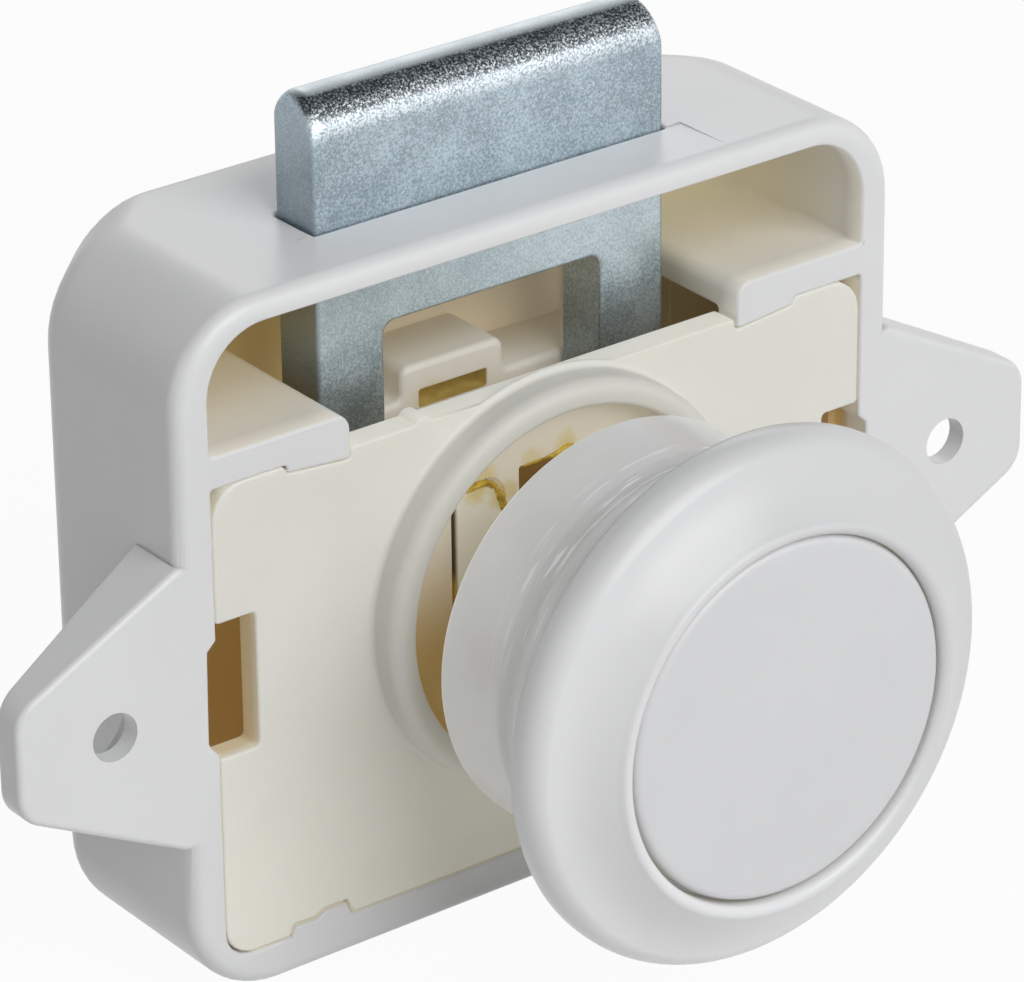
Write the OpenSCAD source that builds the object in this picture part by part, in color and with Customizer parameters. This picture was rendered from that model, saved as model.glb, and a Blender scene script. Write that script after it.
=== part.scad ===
// Push button cabinet lock, shown locked: knob pressed in, bolt out of the case.
// The origin lies on the knob's axis, in the plane of the case's open front.
// +X runs to the right seen from the knob, +Y into the case, +Z along the bolt.

/* [Case] */
// Width of the case without its ears
case_w = 52; // [51:0.5:56]
// Height of the case above the knob's axis
case_up = 24; // [23:0.1:26]
// Height of the case below the knob's axis
case_down = 19.8; // [19:0.1:23]
// Depth of the case
case_depth = 17; // [16.6:0.1:20]
// Radius of the case's corners seen from the front
corner_r = 6; // [5:0.5:8]
// Thickness of the side walls
wall_side = 2.3; // [1.8:0.1:2.6]
// Thickness of the top wall
wall_top = 1.5; // [1.2:0.1:2]
// Thickness of the bottom wall
wall_bottom = 2.6; // [2:0.1:3]
// Thickness of the back wall
wall_back = 2.6; // [2:0.1:2.9]
// Rounding of the case's front edge
edge_r = 1; // [0.5:0.1:1.4]
// Size of the slope between the side walls and the back
bevel = 4; // [2:0.5:5]

/* [Ears] */
// Distance between the screw holes
screw_spacing = 61.5; // [60:0.5:64]
// Diameter of the screw holes
screw_d = 3; // [2.6:0.1:3.6]
// Width over both ears
ear_span = 74.4; // [72:0.2:78]
// Height of an ear at the case
ear_root_h = 18; // [15:0.5:20]
// Height of an ear at its tip
ear_tip_h = 7.2; // [6:0.2:9]
// Thickness of an ear at the case
ear_root_t = 4.5; // [3:0.1:6]
// Thickness of an ear at its tip
ear_tip_t = 2; // [1.5:0.1:3]

/* [Cover] */
// Thickness of the cover plate
cover_t = 1.8; // [1.4:0.1:2]
// Inner diameter of the ring boss
ring_d = 22.6; // [21:0.2:23.4]
// Height of the ring boss
ring_h = 2.2; // [1:0.1:3]
// Height of a snap window
window_h = 8.6; // [5:0.2:9]

/* [Bolt] */
// Width of the bolt
bolt_w = 25.2; // [24:0.2:26]
// Thickness of the bolt
bolt_t = 3.8; // [3:0.1:4.2]
// Length of bolt outside the case when locked
bolt_throw = 7.8; // [6:0.1:8.2]
// Width of the cut-out between the legs
cut_w = 15.8; // [15:0.2:16.6]

/* [Knob] */
// Diameter of the barrel that goes through the door
barrel_d = 25.4; // [25:0.1:26.4]
// Thickness of the door panel between case and rosette
panel_t = 17.3; // [15:0.1:20]
// Outer diameter of the rosette
rosette_d = 32.7; // [31:0.1:36]
// Height of the rosette in front of the door
rosette_h = 5; // [4.4:0.1:6.5]
// Length of barrel behind the rosette
barrel_len = 11.2; // [9:0.1:12]
// Travel of the knob from pressed in to out
knob_travel = 7.4; // [6:0.1:7.6]
// Diameter of the knob spring's wire
wire_d = 0.7; // [0.5:0.05:0.8]
// Number of curls in the knob spring
curls = 12; // [8:1:14]

/* [Hidden] */
$fn = 96;
eps = 0.02;
cut_over = 1;
arc_steps = 8;

// clearances
slide_gap = 0.3;
fit_gap = 0.12;
pivot_gap = 0.05;

// inside of the case
inner_x = case_w / 2 - wall_side;
inner_top = case_up - wall_top;
inner_low = wall_bottom - case_down;
inner_back = case_depth - wall_back;
inner_r = corner_r - 2;
side_depth = case_depth - bevel;
inner_bevel = bevel - 1;

// shelves beside the bolt
shelf_drop = 8.8;
shelf_top = case_up - shelf_drop;
shelf_t = 2;
shelf_low = shelf_top - shelf_t;
shelf_end = bolt_w / 2 + 1.5;
shelf_round = 1;

// cover plate
cover_front = 0.1;
cover_back = cover_front + cover_t;
cover_x = inner_x - fit_gap;
cover_low = inner_low + fit_gap;
cover_r = inner_r - fit_gap;
lobe_r = 3;
tongue_x = shelf_end - fit_gap;
tongue_top = shelf_low - 0.2;
lobe_w = 4.7;
lobe_top = shelf_low - fit_gap;
lobe_in = inner_x - lobe_w;
relief_top = shelf_low - 1;
relief_rise = 0.4;
stud_w = 3.8;
stud_in = lobe_in - stud_w;
stud_h = 0.7;
window_w = 2.8;
window_x = inner_x - window_w;
window_mid = 0.4;
window_low = window_mid - window_h / 2;
window_top = window_mid + window_h / 2;
notch_t = 0.7;
notch_end = 1.1;
seat_w = 1.4;
seat_h = 4;
seat_gap = 5;
ring_r = ring_d / 2;
ring_wall = 1.6;
ring_edge = 0.6;
ring_foot = 0.4;
ring_bevel = 0.3;
nub_r = 0.7;
nub_x = cut_w / 2 + 1;

// bolt and its slot
bolt_front = cover_back + 3.3;
bolt_back = bolt_front + bolt_t;
bolt_top = case_up + bolt_throw;
bolt_round_front = 2.4;
bolt_round_back = 1.2;
bolt_corner = 1;
bridge_h = 6.9;
cut_top = case_up - bridge_h;
cut_round = 0.9;
leg_low = inner_low + bolt_throw + 0.8;
slot_x = bolt_w / 2 + slide_gap;
recess_x = bolt_w / 2 + 1.2;
recess_t = 0.2;

// cam pins and lugs
pin_r = 1;
pin_y = cover_back + 1.7;
pin_z = 4.1;
slot_r = pin_r + 0.25;
overtravel = 0.8;
lift = bolt_throw / knob_travel;
lug_front = cover_back + slide_gap;
lug_in = cut_w / 2 + 0.4;
lug_out = bolt_w / 2 - 1;
lug_up = 2;
lug_down = 3.2;
rivet_r = 0.8;
rivet_drop = 2.3;

// plunger, with the coil that its neck holds
coil_r = 2;
plate_in = 3.3;
plate_t = 3.5;
plate_out = plate_in + plate_t;
plate_edge = 1.6;
plate_top = pin_z + lift * overtravel + slot_r + plate_edge + 0.1;
slot_low = pin_z - bolt_throw - slot_r;
web_top = slot_low - 0.25;
web_t = 1.5;
web_low = web_top - web_t;
plunger_end = inner_back - overtravel - 0.4;
hub_t = 2;
plate_round = 1.6;
face_front = cover_front + 0.1;
face_back = face_front + 1.3;
face_top = pin_z + 0.5;
neck_in = coil_r + wire_d / 2 + slide_gap;
neck_r = neck_in + 1.6;

// opening for the plunger inside the ring boss
hole_x = plate_out + 0.45;
hole_top = plate_top + slide_gap;
hole_low = web_low - slide_gap;
hole_r = 1;

// knob, sleeve and rosette
barrel_r = barrel_d / 2;
sleeve_wall = 1.45;
sleeve_in = barrel_r - sleeve_wall;
knob_r = sleeve_in - slide_gap;
flange_y = -panel_t;
lip_y = flange_y - rosette_h;
knob_face = lip_y + 0.3;
cap_t = 1.6;
cap_edge = 0.5;
tube_wall = 1.6;
tube_in = knob_r - tube_wall;
sleeve_rear = flange_y + barrel_len;
sleeve_front = flange_y - 3.2;
hub_rear = sleeve_rear - 1.1;
spigot_l = 3;
spigot_wall = 1;
groove_t = 0.5;
groove_w = 0.8;
groove_first = 4.6;
groove_pitch = 2.2;

// latch track and wire
wire_r = 0.4;
arm_r = 0.45;
track_t = 1;
tip_y = cover_back + 0.9;
swing_x = 1.4;
lane = wire_r + slide_gap;
arm_z = web_low - 1.8;
tip_top = web_low + track_t - 0.35;
pivot_y = inner_back - 2.8;
pivot_end = 1;

// guide block
block_x = bolt_w / 2 - 0.2;
block_front = bolt_back + slide_gap;
block_top = shelf_low - 3.8;
pivot_l = 6;
block_low = arm_z - pivot_l;
tower_x = 3.8;
tower_h = 2.1;
tower_root = 1;
tower_top = block_top + tower_h;
tower_slot_x = 2.5;
tower_slot_z = block_top - 0.4;
tower_slot_h = 0.8;
tower_slot_d = 2.4;
opening_x = plate_out + 0.6;
opening_top = plate_top + 0.6;
opening_low = arm_z - arm_r - 0.6;

// knob spring
post_r = 1.25;
post_l = 9;
spring_from = hub_rear + wire_d / 2 + 0.05;
spring_to = inner_back - wire_d / 2 - 0.05;
rings_per_curl = 8;
tube_sides = 6;

// box between two opposite corners
module block(low, high) {
    translate(low) cube(high - low);
}

// flat XZ outline given a depth along Y
module deep(y0, y1) {
    translate([0, y1, 0]) rotate([90, 0, 0]) linear_extrude(y1 - y0) children();
}

// profile of radius and Y, turned about the knob's axis
module turned() {
    rotate([-90, 0, 0]) rotate_extrude() children();
}

module rod_y(r, y0, y1, x = 0, z = 0) {
    translate([x, y0, z]) rotate([-90, 0, 0]) cylinder(r = r, h = y1 - y0);
}

module rod_x(r, x0, x1, y, z) {
    translate([x0, y, z]) rotate([0, 90, 0]) cylinder(r = r, h = x1 - x0);
}

module both_sides() {
    children();
    mirror([1, 0, 0]) children();
}

// points of an arc about a centre
function arc(c, r, a0, a1, n = arc_steps) =
    [for (i = [0:n]) let(a = a0 + (a1 - a0) * i / n) c + r * [cos(a), sin(a)]];

function round_rect(x0, x1, z0, z1, r) =
    concat(arc([x1 - r, z1 - r], r, 0, 90), arc([x0 + r, z1 - r], r, 90, 180),
           arc([x0 + r, z0 + r], r, 180, 270), arc([x1 - r, z0 + r], r, 270, 360));

// outline from its right half, listed upwards from the middle of its lower edge
function both_halves(half) =
    concat(half, [for (i = [len(half) - 1:-1:0]) [-half[i][0], half[i][1]]]);

// one slice of the case's outside at a depth, drawn in by the given amounts
module case_slice(y, inset, inset_x) {
    x = case_w / 2 - inset - inset_x;
    deep(y, y + eps) polygon(round_rect(-x, x, inset - case_down, case_up - inset, corner_r - inset));
}

module case_outside() {
    hull() {
        for (a = [0, 30, 60, 90]) case_slice(edge_r * (1 - cos(a)), edge_r * (1 - sin(a)), 0);
        case_slice(side_depth, 0, 0);
        case_slice(case_depth - eps, 0, bevel);
    }
}

module case_inside() {
    intersection() {
        deep(-1, inner_back) polygon(round_rect(-inner_x, inner_x, inner_low, inner_top, inner_r));
        translate([0, 0, -2 * case_down]) linear_extrude(2 * case_down + 2 * case_up)
            polygon(both_halves([[0, inner_back], [inner_x - inner_bevel, inner_back],
                                 [inner_x, inner_back - inner_bevel], [inner_x, -1], [0, -1]]));
    }
}

module ear_outline() {
    tip_r = 2.2;
    hull() {
        translate([case_w / 2 - 1, -ear_root_h / 2]) square([1, ear_root_h]);
        for (s = [-1, 1]) translate([ear_span / 2 - tip_r, s * (ear_tip_h / 2 - tip_r + 0.6)])
            circle(r = tip_r, $fn = 32);
    }
}

module ear() {
    root_x = case_w / 2 - 1;
    intersection() {
        deep(0, ear_root_t) ear_outline();
        translate([0, 0, -ear_root_h]) linear_extrude(2 * ear_root_h)
            polygon([[root_x, 0], [ear_span / 2 + 1, 0], [ear_span / 2 + 1, ear_tip_t],
                     [case_w / 2, ear_root_t], [root_x, ear_root_t]]);
    }
}

// shelf with the lip that the cover's upper edge meets
module shelf() {
    block([shelf_end + shelf_round, 0, shelf_low], [inner_x + eps, inner_back + eps, shelf_top]);
    block([shelf_end, 0, shelf_low], [shelf_end + shelf_round + eps, inner_back + eps, shelf_top - shelf_round]);
    rod_y(shelf_round, 0, inner_back + eps, shelf_end + shelf_round, shelf_top - shelf_round);
    deep(0, cover_back) polygon([[shelf_end, shelf_low + eps], [shelf_end, relief_top + fit_gap],
                                 [lobe_in - relief_rise - fit_gap, relief_top + relief_rise + fit_gap],
                                 [lobe_in - relief_rise - fit_gap, shelf_low + eps]]);
}

// ledges behind the cover and the stud in its lower edge
module cover_seats() {
    for (z = [inner_low + seat_gap, relief_top - seat_gap - seat_h / 2])
        block([inner_x - seat_w, cover_back, z], [inner_x + eps, inner_back - inner_bevel, z + seat_h]);
    block([stud_in + fit_gap, cover_front, inner_low - eps],
          [lobe_in - fit_gap, cover_back, inner_low + stud_h]);
}

module case() {
    color("white") difference() {
        union() {
            difference() {
                case_outside();
                case_inside();
            }
            both_sides() {
                ear();
                shelf();
                cover_seats();
            }
        }
        block([-slot_x, bolt_front - slide_gap, shelf_top], [slot_x, bolt_back + slide_gap, case_up + cut_over]);
        block([-recess_x, edge_r - 0.1, case_up - recess_t], [recess_x, bolt_front - eps, case_up + cut_over]);
        both_sides() {
            block([inner_x - eps, -cut_over, window_low + notch_end],
                  [inner_x + notch_t, cover_back + notch_end, window_top - notch_end]);
            rod_y(screw_d / 2, -cut_over, ear_root_t + cut_over, screw_spacing / 2);
        }
    }
}

function cover_half() = concat(
    [[0, cover_low], [stud_in, cover_low], [stud_in, cover_low + stud_h], [lobe_in, cover_low + stud_h],
     [lobe_in, cover_low]],
    arc([cover_x - cover_r, cover_low + cover_r], cover_r, 270, 360),
    [[cover_x, window_low], [window_x, window_low], [window_x, window_top], [cover_x, window_top]],
    arc([cover_x - lobe_r, lobe_top - lobe_r], lobe_r, 0, 90),
    [[lobe_in, lobe_top], [lobe_in - relief_rise, relief_top + relief_rise], [tongue_x, relief_top],
     [tongue_x, tongue_top], [0, tongue_top]]);

module cover_plate() {
    color("ivory") difference() {
        union() {
            deep(cover_front, cover_back) polygon(both_halves(cover_half()));
            turned() polygon(concat(
                [[ring_r, cover_back], [ring_r + ring_wall, cover_back], [ring_r + ring_wall, cover_front]],
                arc([ring_r + ring_wall - ring_foot - ring_edge, ring_edge - ring_h], ring_edge, 0, -90),
                [[ring_r + ring_bevel, -ring_h], [ring_r, ring_bevel - ring_h]]));
            rod_y(nub_r, cover_front, cover_back, -nub_x, tongue_top - nub_r / 2);
        }
        deep(cover_front - cut_over, cover_back + cut_over)
            polygon(round_rect(-hole_x, hole_x, hole_low, hole_top, hole_r));
    }
}

module guide_block() {
    color("ivory") difference() {
        union() {
            block([-block_x, block_front, block_low], [block_x, inner_back, block_top]);
            block([-tower_x, block_front, block_top - tower_root], [tower_x, inner_back, tower_top]);
        }
        block([-opening_x, block_front - cut_over, opening_low], [opening_x, inner_back + cut_over, opening_top]);
        block([-tower_slot_x, block_front - cut_over, tower_slot_z],
              [tower_slot_x, block_front + tower_slot_d, tower_slot_z + tower_slot_h]);
        translate([0, pivot_y, block_low - cut_over])
            cylinder(r = wire_r + pivot_gap, h = opening_low - block_low + 2 * cut_over);
    }
}

module spring_post() {
    color("silver") rod_y(post_r, inner_back - post_l, inner_back);
}

module barrel_sleeve() {
    groove_y = [for (i = [0:2]) sleeve_rear - groove_first - i * groove_pitch];
    color("gainsboro", 0.8) turned() polygon(concat(
        [[sleeve_in, sleeve_front], [barrel_r, sleeve_front]],
        [for (i = [2:-1:0]) let(y = groove_y[i])
            each [[barrel_r, y - groove_w], [barrel_r - groove_t, y - 0.7 * groove_w],
                  [barrel_r - groove_t, y - 0.3 * groove_w], [barrel_r, y]]],
        [[barrel_r, sleeve_rear - 0.3], [barrel_r - 0.3, sleeve_rear], [sleeve_in, sleeve_rear]]));
}

// front of the rosette: outer roll, slope with a faint hollow, and raised lip
module rosette_ring() {
    out_r = rosette_d / 2;
    roll_r = 1.8;
    roll_y = flange_y - 0.9;
    roll_turn = 60;
    roll_end = [out_r - roll_r * (1 - cos(roll_turn)), roll_y - roll_r * sin(roll_turn)];
    slope_end = [sleeve_in + 0.9, lip_y + 0.3];
    hollow_t = 0.1;
    color("white") turned() polygon(concat(
        [[barrel_r, flange_y], [out_r - 0.5, flange_y]],
        arc([out_r - 0.5, flange_y - 0.5], 0.5, 90, 0, 4),
        arc([out_r - roll_r, roll_y], roll_r, 0, -roll_turn, 10),
        [for (i = [1:10]) let(t = i / 10)
            roll_end + (slope_end - roll_end) * t + [0, hollow_t * sin(180 * t)]],
        arc([sleeve_in + 0.45, lip_y + 0.45], 0.45, -45, -180, 6),
        [[sleeve_in, sleeve_front], [barrel_r, sleeve_front]]));
}

// points of the spring's centre line and of one ring of its tube
ring_count = curls * rings_per_curl;
function coil_point(i) = let(t = i / ring_count, a = 360 * i / rings_per_curl)
    [coil_r * cos(a), spring_from + (spring_to - spring_from) * t, coil_r * sin(a)];
function coil_ring(i) = let(a = 360 * i / rings_per_curl, c = coil_point(i))
    [for (k = [0:tube_sides - 1]) let(b = 360 * k / tube_sides)
        c + wire_d / 2 * [cos(b) * cos(a), sin(b), cos(b) * sin(a)]];
self_gap = min([for (i = [0:rings_per_curl]) for (j = [i + rings_per_curl / 2:ring_count])
    norm(coil_point(i) - coil_point(j))]) - wire_d;

module knob_spring() {
    n = ring_count + 1;
    points = [for (i = [0:ring_count]) each coil_ring(i)];
    sides = [for (i = [0:ring_count - 1]) for (k = [0:tube_sides - 1])
        let(a = i * tube_sides + k, b = i * tube_sides + (k + 1) % tube_sides)
        each [[a, b, b + tube_sides], [a, b + tube_sides, a + tube_sides]]];
    first = [for (k = [tube_sides - 1:-1:0]) k];
    last = [for (k = [0:tube_sides - 1]) (n - 1) * tube_sides + k];
    echo("least gap of the knob spring to itself", self_gap);
    color("silver") polyhedron(points = points, faces = concat(sides, [first, last]));
}

module knob_cap() {
    color("white") turned() polygon(concat(
        [[0, knob_face]],
        arc([knob_r - cap_edge, knob_face + cap_edge], cap_edge, -90, 0, 5),
        [[knob_r, knob_face + cap_t], [tube_in, knob_face + cap_t], [tube_in, knob_face + cap_t + spigot_l],
         [tube_in - spigot_wall, knob_face + cap_t + spigot_l], [tube_in - spigot_wall, knob_face + cap_t],
         [0, knob_face + cap_t]]));
}

module knob_body() {
    color("white") turned() polygon([[tube_in, knob_face + cap_t], [knob_r, knob_face + cap_t],
                                     [knob_r, hub_rear - 0.4], [knob_r - 0.4, hub_rear], [tube_in, hub_rear]]);
}

// sloping slot that drives the cam pins, from overtravel to knob fully out
module cam_slot() {
    from = [pin_y - overtravel, pin_z + lift * overtravel];
    to = [pin_y + knob_travel, pin_z - bolt_throw];
    run = to - from;
    width = 2 * (plate_out + cut_over);
    for (p = [from, to]) rod_x(slot_r, -width / 2, width / 2, p[0], p[1]);
    translate([0, from[0], from[1]]) rotate([atan2(run[1], run[0]), 0, 0])
        translate([-width / 2, 0, -slot_r]) cube([width, norm(run), 2 * slot_r]);
}

// groove under the web: a straight lane, a wider chamber and the island that holds the wire
module latch_track() {
    z0 = web_low - 1;
    z1 = web_low + track_t;
    difference() {
        block([-lane, tip_y - overtravel - lane, z0], [swing_x + lane, tip_y + knob_travel + lane, z1]);
        block([lane + 0.15, tip_y + lane, z0 - 1], [swing_x + lane + 1, tip_y + lane + 2, z1 + 1]);
    }
}

// one plate of the plunger seen from the front, its upper edges rounded
function plate_front() = concat(
    [[plate_in, web_low], [plate_out, web_low]],
    arc([plate_out - plate_edge, plate_top - plate_edge], plate_edge, 0, 90),
    arc([plate_in + plate_edge, plate_top - plate_edge], plate_edge, 90, 180));

// both plates seen from the side, the upper corner at their end rounded
function plate_side() = concat(
    [[face_front, plate_top + eps], [face_front, web_low - eps], [plunger_end, web_low - eps]],
    arc([plunger_end - plate_round, plate_top - plate_round + eps], plate_round, 0, 90));

// hub in the knob, neck round the spring, and the two plates behind a face
module plunger() {
    color("ivory") difference() {
        union() {
            rod_y(tube_in, hub_rear - hub_t, hub_rear);
            rod_y(neck_r, hub_rear - eps, face_back);
            block([-plate_out, face_front, web_low], [plate_out, face_back, face_top]);
            intersection() {
                deep(face_front - eps, plunger_end + eps) both_sides() polygon(plate_front());
                translate([-plate_out - eps, 0, 0]) rotate([90, 0, 90]) linear_extrude(2 * plate_out + 2 * eps)
                    polygon(plate_side());
            }
            block([-plate_in - eps, face_front, web_low], [plate_in + eps, plunger_end, web_top]);
        }
        rod_y(neck_in, hub_rear, face_back + cut_over);
        cam_slot();
        latch_track();
    }
}

// outline of the bolt seen from the front, with its two legs
function bolt_half() = concat(
    [[0, cut_top]],
    arc([cut_w / 2 - cut_round, cut_top - cut_round], cut_round, 90, 0),
    [[cut_w / 2, leg_low], [bolt_w / 2, leg_low]],
    arc([bolt_w / 2 - bolt_corner, bolt_top - bolt_corner], bolt_corner, 0, 90),
    [[0, bolt_top]]);

// end view of the bolt, its top rounded more towards the front
function bolt_end() = concat(
    [[bolt_front, leg_low - 1], [bolt_back, leg_low - 1]],
    arc([bolt_back - bolt_round_back, bolt_top - bolt_round_back], bolt_round_back, 0, 90),
    arc([bolt_front + bolt_round_front, bolt_top - bolt_round_front], bolt_round_front, 90, 180));

module bolt() {
    color("lightsteelblue") difference() {
        intersection() {
            deep(bolt_front - 1, bolt_back + 1) polygon(both_halves(bolt_half()));
            translate([-bolt_w, 0, 0]) rotate([90, 0, 90]) linear_extrude(2 * bolt_w) polygon(bolt_end());
        }
        both_sides() rod_y(rivet_r, bolt_front - 1, bolt_back + 1, rivet_x, pin_z - rivet_drop);
    }
}

rivet_x = (lug_in + lug_out) / 2;

module right_lug() {
    color("ivory") difference() {
        block([lug_in, lug_front, pin_z - lug_down], [lug_out, bolt_front, pin_z + lug_up]);
        rod_x(pin_r, lug_in - 1, lug_out + 1, pin_y, pin_z);
        rod_y(rivet_r, lug_front - 1, bolt_front + 1, rivet_x, pin_z - rivet_drop);
    }
}

module left_lug() {
    mirror([1, 0, 0]) right_lug();
}

module right_cam_pin() {
    color("silver") rod_x(pin_r, plate_in - slide_gap, lug_out, pin_y, pin_z);
}

module left_cam_pin() {
    mirror([1, 0, 0]) right_cam_pin();
}

module lug_rivets() {
    color("silver") both_sides() rod_y(rivet_r, lug_front, bolt_back, rivet_x, pin_z - rivet_drop);
}

module latch_wire() {
    color("silver") {
        translate([0, pivot_y, block_low + pivot_end]) cylinder(r = wire_r, h = arm_z - block_low - pivot_end);
        rod_y(arm_r, tip_y - arm_r, pivot_y + arm_r, 0, arm_z);
        translate([0, tip_y, arm_z]) cylinder(r = wire_r, h = tip_top - arm_z);
    }
}

case();
cover_plate();
guide_block();
spring_post();
barrel_sleeve();
rosette_ring();
knob_spring();
knob_cap();
knob_body();
plunger();
bolt();
left_lug();
right_lug();
left_cam_pin();
right_cam_pin();
lug_rivets();
latch_wire();
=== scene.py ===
import bmesh
import bpy
from math import acos, atan2, cos, degrees, hypot, pi, radians, sin, sqrt, tan
from mathutils import Matrix, Vector, noise


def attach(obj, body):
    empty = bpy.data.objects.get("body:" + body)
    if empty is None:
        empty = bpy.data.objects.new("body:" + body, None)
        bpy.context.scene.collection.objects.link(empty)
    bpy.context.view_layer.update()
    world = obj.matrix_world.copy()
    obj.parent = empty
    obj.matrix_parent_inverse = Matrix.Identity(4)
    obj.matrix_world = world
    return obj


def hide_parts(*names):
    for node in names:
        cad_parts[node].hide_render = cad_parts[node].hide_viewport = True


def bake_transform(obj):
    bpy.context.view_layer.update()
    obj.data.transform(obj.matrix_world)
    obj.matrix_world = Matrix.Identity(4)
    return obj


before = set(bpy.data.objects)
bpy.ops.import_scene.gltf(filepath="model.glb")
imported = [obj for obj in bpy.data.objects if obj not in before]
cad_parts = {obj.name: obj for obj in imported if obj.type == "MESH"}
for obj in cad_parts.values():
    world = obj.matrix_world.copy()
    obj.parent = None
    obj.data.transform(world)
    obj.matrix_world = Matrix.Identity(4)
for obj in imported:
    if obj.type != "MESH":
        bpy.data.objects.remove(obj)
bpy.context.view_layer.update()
scene = bpy.context.scene
scene.view_settings.view_transform = "Standard"
print("frame loaded:", len(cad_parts), "nodes")

mm = 0.001


# outlines are lists of (x, z) in millimetres, run round once

def arcPoints(centre, radius, start, end, steps):
    turn = [radians(start + (end - start) * i / steps) for i in range(steps + 1)]
    return [(centre[0] + radius * cos(a), centre[1] + radius * sin(a)) for a in turn]


def roundedRect(x0, x1, z0, z1, radius, steps=10, lowRadius=None):
    low = lowRadius or radius
    corners = [(x1 - radius, z1 - radius, 0, radius), (x0 + radius, z1 - radius, 90, radius),
               (x0 + low, z0 + low, 180, low), (x1 - low, z0 + low, 270, low)]
    return [p for cx, cz, a, r in corners for p in arcPoints((cx, cz), r, a, a + 90, steps)]


def circle(radius, steps, x=0.0):
    turn = [2 * pi * i / steps for i in range(steps)]
    return [(x + radius * cos(a), radius * sin(a)) for a in turn]


def bothSides(half):  # half an outline of (x, z, ...) and its mirror image, run on round
    return half + [(-x, *rest) for x, *rest in reversed(half)]


def mirrored(outline, side):
    return [(side * x, z) for x, z in outline]


def softCorners(points, steps=5):  # points are (x, z, corner radius)
    least = 0.02
    out = []
    count = len(points)
    for i, (x, z, r) in enumerate(points):
        here = Vector((x, z))
        toPrev = Vector(points[i - 1][:2]) - here
        toNext = Vector(points[(i + 1) % count][:2]) - here
        r = min(r, 0.45 * toPrev.length, 0.45 * toNext.length)
        u, v = toPrev.normalized(), toNext.normalized()
        half = acos(max(-1, min(1, u.dot(v)))) / 2
        if r < least or pi / 2 - half < least:  # sharp, or next to straight
            out.append((x, z))
            continue
        reach = min(r / tan(half), 0.48 * toPrev.length, 0.48 * toNext.length)
        radius = reach * tan(half)
        centre = here + (u + v).normalized() * (radius / sin(half))
        a = atan2(*reversed((here + u * reach - centre)[:]))
        b = atan2(*reversed((here + v * reach - centre)[:]))
        turn = (b - a + pi) % (2 * pi) - pi
        bend = [a + turn * k / steps for k in range(steps + 1)]
        out += [(centre.x + radius * cos(t), centre.y + radius * sin(t)) for t in bend]
    return out


def area(outline):
    return sum(a[0] * b[1] - b[0] * a[1] for a, b in zip(outline, outline[1:] + outline[:1])) / 2


def inset(outline, distance):
    sign = 1 if area(outline) > 0 else -1
    out = []
    for i, p in enumerate(outline):
        a, b = Vector(outline[i - 1]), Vector(outline[(i + 1) % len(outline)])
        here = Vector(p)
        n1 = Vector((-(here - a).y, (here - a).x)).normalized() * sign
        n2 = Vector((-(b - here).y, (b - here).x)).normalized() * sign
        n = n1 + n2
        n /= max(0.5, n.length_squared / 2)
        out.append((p[0] + n.x * distance, p[1] + n.y * distance))
    return out


# bmesh makers, in millimetres

def addLoop(bm, outline, y):
    return [bm.verts.new((x, y(x, z) if callable(y) else y, z)) for x, z in outline]


def loft(bm, loops):
    for a, b in zip(loops, loops[1:]):
        for i in range(len(a)):
            j = (i + 1) % len(a)
            bm.faces.new((a[i], a[j], b[j], b[i])).smooth = True


def cap(bm, *loops):  # flat face inside the first loop, around the others
    edges = []
    for loop in loops:
        for i in range(len(loop)):
            pair = (loop[i], loop[(i + 1) % len(loop)])
            edges.append(bm.edges.get(pair) or bm.edges.new(pair))
    made = bmesh.ops.triangle_fill(bm, use_beauty=True, use_dissolve=False, edges=edges)
    for face in (g for g in made["geom"] if isinstance(g, bmesh.types.BMFace)):
        face.smooth = False


def edgeLevels(front, back, edge, steps=4):  # (y, inset) over a wall with both edges rounded
    turn = [radians(90 * i / steps) for i in range(steps + 1)]
    return ([(front + edge * (1 - sin(a)), edge * (1 - cos(a))) for a in reversed(turn)]
            + [(back - edge * (1 - sin(a)), edge * (1 - cos(a))) for a in turn])


def slab(bm, outline, front, back, edge, holes=()):
    levels = edgeLevels(front, back, edge)
    outer = [addLoop(bm, inset(outline, d), y) for y, d in levels]
    loft(bm, outer)
    fronts, backs = [outer[0]], [outer[-1]]
    for hole in holes:
        deep = hole.get("deep")
        wall = edgeLevels(front, back if deep is None else front + deep, hole["edge"])
        if deep is not None:
            wall = wall[:len(wall) // 2] + [(front + deep, 0)]
        loops = [addLoop(bm, inset(hole["outline"], -d), y) for y, d in wall]
        loft(bm, loops)
        fronts.append(loops[0])
        if deep is None:
            backs.append(loops[-1])
        else:
            cap(bm, loops[-1])
    cap(bm, *fronts)
    cap(bm, *backs)


def lathe(bm, profile, steps=160, closed=True):  # profile of (radius, y), turned about the knob's axis
    rings = []
    for r, y in profile:
        if r < 1e-6:
            rings.append([bm.verts.new((0, y, 0))])
        else:
            rings.append(addLoop(bm, circle(r, steps), y))
    pairs = list(zip(rings, rings[1:])) + ([(rings[-1], rings[0])] if closed else [])
    for a, b in pairs:
        for i in range(steps):
            j = (i + 1) % steps
            if len(a) == 1 and len(b) == 1:
                continue
            if len(a) == 1:
                f = bm.faces.new((a[0], b[j], b[i]))
            elif len(b) == 1:
                f = bm.faces.new((a[i], a[j], b[0]))
            else:
                f = bm.faces.new((a[i], a[j], b[j], b[i]))
            f.smooth = True


def brick(bm, low, high):
    xs, ys, zs = zip(low, high)
    corners = [bm.verts.new((x, y, z)) for x in xs for y in ys for z in zs]
    for quad in ((0, 1, 3, 2), (4, 6, 7, 5), (0, 4, 5, 1), (2, 3, 7, 6), (0, 2, 6, 4), (1, 5, 7, 3)):
        bm.faces.new([corners[i] for i in quad])


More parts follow.
